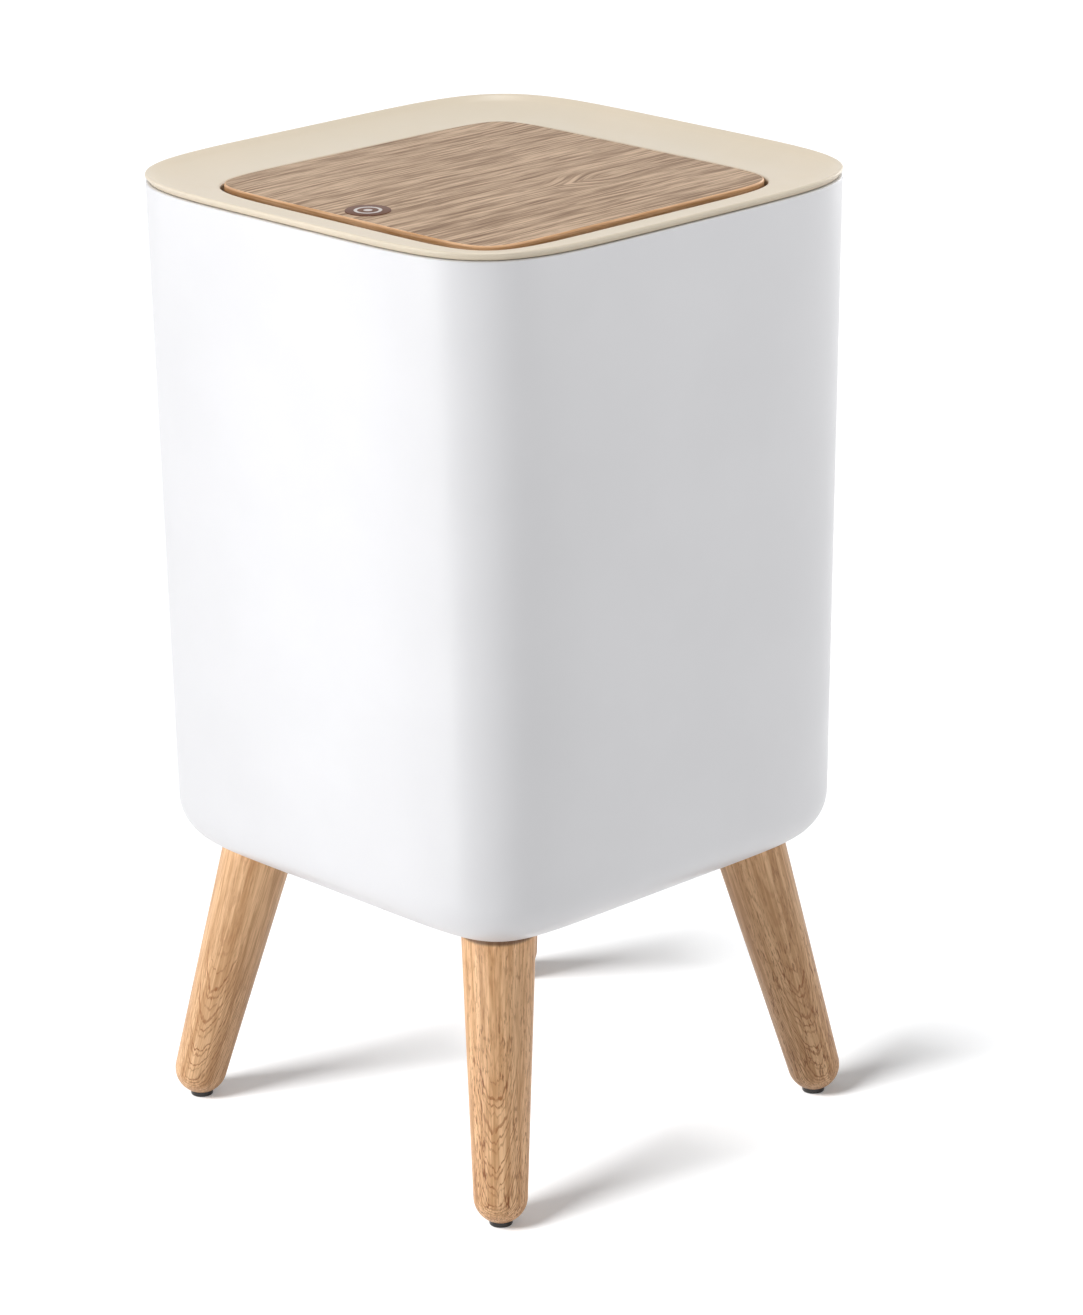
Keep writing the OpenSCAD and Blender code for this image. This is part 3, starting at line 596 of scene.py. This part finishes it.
def build_lid():
    # The rim is a small round bead over a flank that leans inward to the body's mouth
    bead_r = 0.75
    neck, neck_low_z = 1.3, 371.2
    collar_t, under_start = 2, 5.3
    section = [(neck, neck_low_z), (0.5, TOTAL_H - 1.6)]
    section += arc((bead_r, TOTAL_H - bead_r), bead_r, 230, 90, 16)
    section += [(1.35, TOTAL_H - 0.17), (2.0, TOTAL_H - 0.75), (3.0, TOTAL_H - 1.4), (3.6, TOTAL_H - 1.85)]
    top_insets = steps(DISH_START, DISH_END, 16)
    section += [(inset, dish_z(inset)) for inset in top_insets]
    section += arc((DISH_END, LIP_Z - LIP_R), LIP_R, 80, 0, 8)
    section += [(OPENING_INSET, LIP_Z - 1.4), (COLLAR_INSET, LIP_Z - 2.2)]
    section += [(COLLAR_INSET, COLLAR_LOW_Z + 0.4), (COLLAR_INSET - 0.4, COLLAR_LOW_Z)]
    section += [(COLLAR_INSET - collar_t + 0.4, COLLAR_LOW_Z), (COLLAR_INSET - collar_t, COLLAR_LOW_Z + 0.4)]
    under_insets = steps(COLLAR_INSET - collar_t, under_start, 8)
    section += [(inset, dish_z(inset) - LID_T) for inset in under_insets]
    # A skirt inside the body's mouth keeps the lid in place
    skirt_z, skirt_out = 361, 3.3
    section += [(under_start, skirt_z + 0.3), (under_start - 0.3, skirt_z), (skirt_out + 0.3, skirt_z)]
    section += [(skirt_out, skirt_z + 0.3), (skirt_out, neck_low_z)]
    bm = bmesh.new()
    skin(bm, [lid_ring(inset, z) for inset, z in section], hoop=True)
    build_lid_inside(bm)
    piece("lid_shell", bm, BEIGE, "lid", "lid_frame")


def build_lid_inside(bm):
    """Bosses, posts, apron and ribs under the lid frame."""
    collar_y = LID[0] - COLLAR_INSET
    boss_x, boss_w, boss_r, bevel = 77.5, 7, 3.4, 0.3
    post_x, post_y, post_top = (73.0, 80.9), (52.5, 55), 356
    screw_bore_r, screw_boss_r, screw_boss_w = 1.2, 3.6, 6.9
    apron_half, apron_low_z = 16, 330
    boss = [(PIN_BORE_R, 0), (boss_r - bevel, 0), (boss_r, bevel), (boss_r, boss_w - bevel)]
    boss += [(boss_r - bevel, boss_w), (PIN_BORE_R, boss_w)]
    screw = [(screw_bore_r, 0), (screw_boss_r - bevel, 0), (screw_boss_r, -bevel)]
    screw += [(screw_boss_r, -screw_boss_w), (screw_bore_r, -screw_boss_w)]
    for side in (-1, 1):
        lathe(bm, boss, along((side, 0, 0), (side * boss_x, HINGE_Y, HINGE_Z)), 48, hoop=True)
        low_x, high_x = sorted(side * x for x in post_x)
        block(bm, (low_x, post_y[0], COLLAR_LOW_Z + 2), (high_x, post_y[1], post_top))
        screw_at = (side * HOUSING_SCREW_X, -collar_y - 0.5, HOUSING_SCREW_Z)
        lathe(bm, screw, along((0, 1, 0), screw_at), 48, hoop=True)
    block(bm, (-apron_half, -collar_y - 2, apron_low_z), (apron_half, -collar_y, COLLAR_LOW_Z + 4))
    build_lid_ribs(bm)


def build_lid_ribs(bm):
    """Two upright ribs under each side of the dish."""
    inner, outer = COLLAR_INSET - 1.5, 4.8
    rib_x, rib_t, rib_low_z = 44, 1.6, 362
    edge = [(LID[0] - inset, dish_z(inset) - LID_T / 2) for inset in steps(inner, outer, 6)]
    edge += [(LID[0] - outer, rib_low_z), (LID[0] - inner, rib_low_z)]
    for quarter in range(4):
        turn = Matrix.Rotation(math.radians(90 * quarter), 4, "Z")
        for x in (-rib_x, rib_x):
            faces = (x - rib_t / 2, x + rib_t / 2)
            skin(bm, [[turn @ Vector((face_x, y, z)) for y, z in edge] for face_x in faces])


build_lid()


# Flap


def build_panel():
    round_r = 0.8
    section = [(0.4, PANEL_LOW_Z), (0.15, PANEL_LOW_Z + 0.12), (0.0, PANEL_LOW_Z + 0.4)]
    section += arc((round_r, PANEL_TOP_Z - round_r), round_r, 180, 90, 8)
    bm = bmesh.new()
    skin(bm, [ring(PANEL[0] - inset, PANEL[1] - inset, z) for inset, z in section])
    for face in bm.faces:
        face.material_index = 0 if face.calc_center_median().z > (PANEL_TOP_Z - 0.02) * MM else 1
    piece("wood_look_panel", bm, [PRINT, EDGE], "flap", "flap_panel")


def build_badge():
    bm = bmesh.new()
    edge = [(0.01, 0), (BADGE_R, 0)]
    edge += arc((BADGE_R - 0.1, BADGE_T - 0.1), 0.1, 0, 90, 3)
    edge.append((0.01, BADGE_T))
    lathe(bm, edge, Matrix.Translation((*BADGE_AT, PANEL_TOP_Z)), 96)
    piece("press_mark", bm, BADGE, "flap", "badge")


build_panel()
build_badge()


# Springs


def coil(turns, steps_per_turn=24):
    """Turns and angles passed at each step along a coil."""
    passed = [k / steps_per_turn for k in range(int(turns * steps_per_turn) + 1)]
    return [(turn, 2 * math.pi * turn) for turn in passed]


def build_torsion_spring(side, name):
    """The coil and its fixed leg stay with the lid; the long leg goes with the flap."""
    radius, pitch, outer, wire_r = 2.5, 1.4, 74.2, 0.4
    winding = [
        Vector((side * (outer - pitch * turn),
                HINGE_Y + radius * math.cos(math.pi - angle),
                HINGE_Z + radius * math.sin(math.pi - angle)))
        for turn, angle in coil(5.75)
    ]
    start, end = winding[0], winding[-1]
    fixed = [start + Vector((0, y, z)) for y, z in ((-3.9, -9.5), (-2.6, -5.5), (-0.3, -2.2), (-0.1, -1.0))]
    bm = bmesh.new()
    tube(bm, fixed + winding, wire_r)
    piece("torsion_coil_" + name, bm, SPRING, "lid", "torsion_spring_" + name, sharp=60)
    lift = [(0, 0), (-1.2, 0), (-3, 0.15), (-7, 0.8), (-14.5, 2.1)]
    bm = bmesh.new()
    tube(bm, [end + Vector((0, y, z)) for y, z in lift], wire_r)
    piece("torsion_arm_" + name, bm, SPRING, "flap", sharp=60)


def build_latch_spring():
    radius, wire_r = 1.8, 0.3
    low, high, turns = 328.35, 337.35, 5
    path = [
        (radius * math.cos(angle), LATCH_Y + radius * math.sin(angle), low + (high - low) * turn / turns)
        for turn, angle in coil(turns)
    ]
    bm = bmesh.new()
    tube(bm, path, wire_r, 10)
    obj = piece("latch_coil", bm, SPRING, "lid", "latch_spring", sharp=60)
    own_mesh(obj)


build_torsion_spring(-1, "left")
build_torsion_spring(1, "right")
build_latch_spring()


# Pieces kept from the CAD model

KEPT = {
    "flap_carrier": BEIGE,
    "latch_striker": ACETAL_WHITE,
    "latch_slider": ACETAL_WHITE,
    "latch_housing": ACETAL_GREY,
    "latch_cam_pin": SPRING,
    "latch_screws": ZINC,
    "panel_screws": ZINC,
    "striker_screw": ZINC,
    "hinge_pin": ZINC,
    "pin_clips": SPRING,
    "pad_nails": ZINC,
    "hanger_bolts": ZINC,
    "threaded_inserts": BRASS,
    **{"foot_pad_" + name: BLACK for name in CORNERS},
}
for name, material in KEPT.items():
    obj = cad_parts[name]
    obj.data.materials.clear()
    obj.data.materials.append(material)


# Floor, world and lights

FLOOR_SUN = 3.6
FLOOR_GLOW = 0.19
FLOOR_BOUNCE = 0.57
AMBIENT = 0.17
AIM = (0, 0, 0.24)
BOX_SIZE = 0.8
BOX_DISTANCE = 1.4


def whiteness_of_rays(tree):
    """1 for rays from the camera, mirrors and glass, 0 for light that falls on things."""
    path = tree.nodes.new("ShaderNodeLightPath")
    total = path.outputs["Is Camera Ray"]
    for name in ("Is Glossy Ray", "Is Transmission Ray"):
        larger = tree.nodes.new("ShaderNodeMath")
        larger.operation = "MAXIMUM"
        tree.links.new(total, larger.inputs[0])
        tree.links.new(path.outputs[name], larger.inputs[1])
        total = larger.outputs[0]
    return total


def build_world():
    world = bpy.data.worlds.new("studio")
    bpy.context.scene.world = world
    world.use_nodes = True
    tree = world.node_tree
    level = tree.nodes.new("ShaderNodeMapRange")
    tree.links.new(whiteness_of_rays(tree), level.inputs["Value"])
    level.inputs["To Min"].default_value = AMBIENT
    level.inputs["To Max"].default_value = 1.0
    background = tree.nodes["Background"]
    background.inputs["Color"].default_value = (1, 1, 1, 1)
    tree.links.new(level.outputs[0], background.inputs["Strength"])


def build_floor():
    bm = bmesh.new()
    bmesh.ops.create_grid(bm, x_segments=1, y_segments=1, size=6)
    mesh = bpy.data.meshes.new("floor")
    bm.to_mesh(mesh)
    bm.free()
    floor = bpy.data.objects.new("floor", mesh)
    bpy.context.scene.collection.objects.link(floor)
    material = bpy.data.materials.new("white_floor")
    material.use_nodes = True
    tree = material.node_tree
    shader = tree.nodes["Principled BSDF"]
    shader.inputs["Base Color"].default_value = (FLOOR_BOUNCE, FLOOR_BOUNCE, FLOOR_BOUNCE, 1)
    shader.inputs["Roughness"].default_value = 0.9
    shader.inputs["Specular IOR Level"].default_value = 0.0
    seen = tree.nodes.new("ShaderNodeBsdfDiffuse")
    seen.inputs["Color"].default_value = (0.98, 0.99, 1, 1)
    glow = tree.nodes.new("ShaderNodeEmission")
    glow.inputs["Strength"].default_value = FLOOR_GLOW
    lit = tree.nodes.new("ShaderNodeAddShader")
    tree.links.new(seen.outputs[0], lit.inputs[0])
    tree.links.new(glow.outputs[0], lit.inputs[1])
    choice = tree.nodes.new("ShaderNodeMixShader")
    tree.links.new(whiteness_of_rays(tree), choice.inputs[0])
    tree.links.new(shader.outputs[0], choice.inputs[1])
    tree.links.new(lit.outputs[0], choice.inputs[2])
    tree.links.new(choice.outputs[0], tree.nodes["Material Output"].inputs["Surface"])
    mesh.materials.append(material)
    return floor


def light(name, kind, at, to, power, size, height=None):
    data = bpy.data.lights.new(name, kind)
    data.energy = power
    if kind == "AREA":
        data.shape = "RECTANGLE"
        data.size = size
        data.size_y = height or size
    else:
        data.angle = size
    obj = bpy.data.objects.new(name, data)
    obj.location = at
    obj.rotation_euler = (Vector(to) - Vector(at)).to_track_quat("-Z", "Y").to_euler()
    obj.visible_camera = False
    bpy.context.scene.collection.objects.link(obj)
    return obj


def group(name, objects, state="INCLUDE"):
    made = bpy.data.collections.new(name)
    for obj in objects:
        made.objects.link(obj)
    for entry in made.collection_objects:
        entry.light_linking.link_state = state
    return made


def around(azimuth, elevation):
    """A place seen from the middle of the bin, with azimuth 0 along +X and 90 along +Y."""
    a, e = math.radians(azimuth), math.radians(elevation)
    outward = Vector((math.cos(a) * math.cos(e), math.sin(a) * math.cos(e), math.sin(e)))
    return Vector(AIM) + outward * BOX_DISTANCE


# Azimuth, elevation and power of each soft box
SOFT_BOXES = {
    "left_box": (-150, 12, 3.1),
    "front_box": (-105, 12, 6.0),
    "right_box": (15, 12, 5.0),
    "back_box": (90, 12, 4.9),
    "top_box": (0, 89, 9.8),
}
# The legs have boxes of their own, and some of the others leave them out
LEG_BOXES = {
    "right_leg_box": (15, 12, 3.7, ["front_right", "back_left", "back_right"]),
    "left_leg_box": (-134, 12, 4.0, ["front_left", "front_right"]),
    "front_leg_box": (-100, 12, 5.5, ["front_left"]),
}
LEGS_LEFT_OUT = {
    "right_box": list(CORNERS),
    "back_box": ["front_left"],
    "front_box": ["back_left", "back_right"],
    "front_strip": ["front_left", "back_left", "back_right"],
}


def build_lights(floor):
    legs = {name: bpy.data.objects["wooden_leg_" + name] for name in CORNERS}
    pads = [bpy.data.objects["foot_pad_" + name] for name in CORNERS]
    boxes = [
        light(name, "AREA", around(azimuth, elevation), AIM, power, BOX_SIZE)
        for name, (azimuth, elevation, power) in SOFT_BOXES.items()
    ]
    strip_at, strip_to = (0.02, -0.28, 0.26), (0.02, -0.1, 0.26)
    boxes.append(light("front_strip", "AREA", strip_at, strip_to, power=0.23, size=0.06, height=0.5))
    for box in boxes:
        left_out = [legs[name] for name in LEGS_LEFT_OUT.get(box.name, [])]
        not_lit = group("not_by_" + box.name, [floor, *left_out], "EXCLUDE")
        box.light_linking.receiver_collection = not_lit
    for name, (azimuth, elevation, power, lit) in LEG_BOXES.items():
        box = light(name, "AREA", around(azimuth, elevation), AIM, power, BOX_SIZE)
        box.light_linking.receiver_collection = group("lit_by_" + name, [legs[corner] for corner in lit])
    # The floor's own sun, halfway up at the front, makes the soft streaks behind the feet
    sun_at, sun_width = (-0.42, -1.9, 1.95), math.radians(26)
    sun = light("floor_sun", "SUN", sun_at, (0, 0, 0), FLOOR_SUN, sun_width)
    sun.light_linking.receiver_collection = group("floor_only", [floor])
    sun.light_linking.blocker_collection = group("streak_makers", [*legs.values(), *pads])


build_world()
build_lights(build_floor())


# Camera, placed where the photograph was taken from


def build_camera():
    """The place, axes and focal length fitted to the photograph, which is 1315 pixels high."""
    right = Vector((0.697790, 0.716212, -0.011410))
    up = Vector((-0.223604, 0.232930, 0.946438))
    back = Vector((0.680508, -0.657863, 0.322685))
    place = Vector((1.296332, -1.231527, 0.791047))
    focal_length_px, photo_h_px = 4913.117, 1315
    data = bpy.data.cameras.new("camera")
    data.sensor_fit = "VERTICAL"
    data.sensor_height = 24
    data.lens = focal_length_px * data.sensor_height / photo_h_px
    data.clip_start = 0.05
    data.clip_end = 20
    camera = bpy.data.objects.new("camera", data)
    turn = Matrix((right, up, back)).transposed().to_4x4()
    camera.matrix_world = Matrix.Translation(place) @ turn
    bpy.context.scene.collection.objects.link(camera)
    bpy.context.scene.camera = camera


build_camera()
bpy.context.scene.view_settings.view_transform = "Standard"
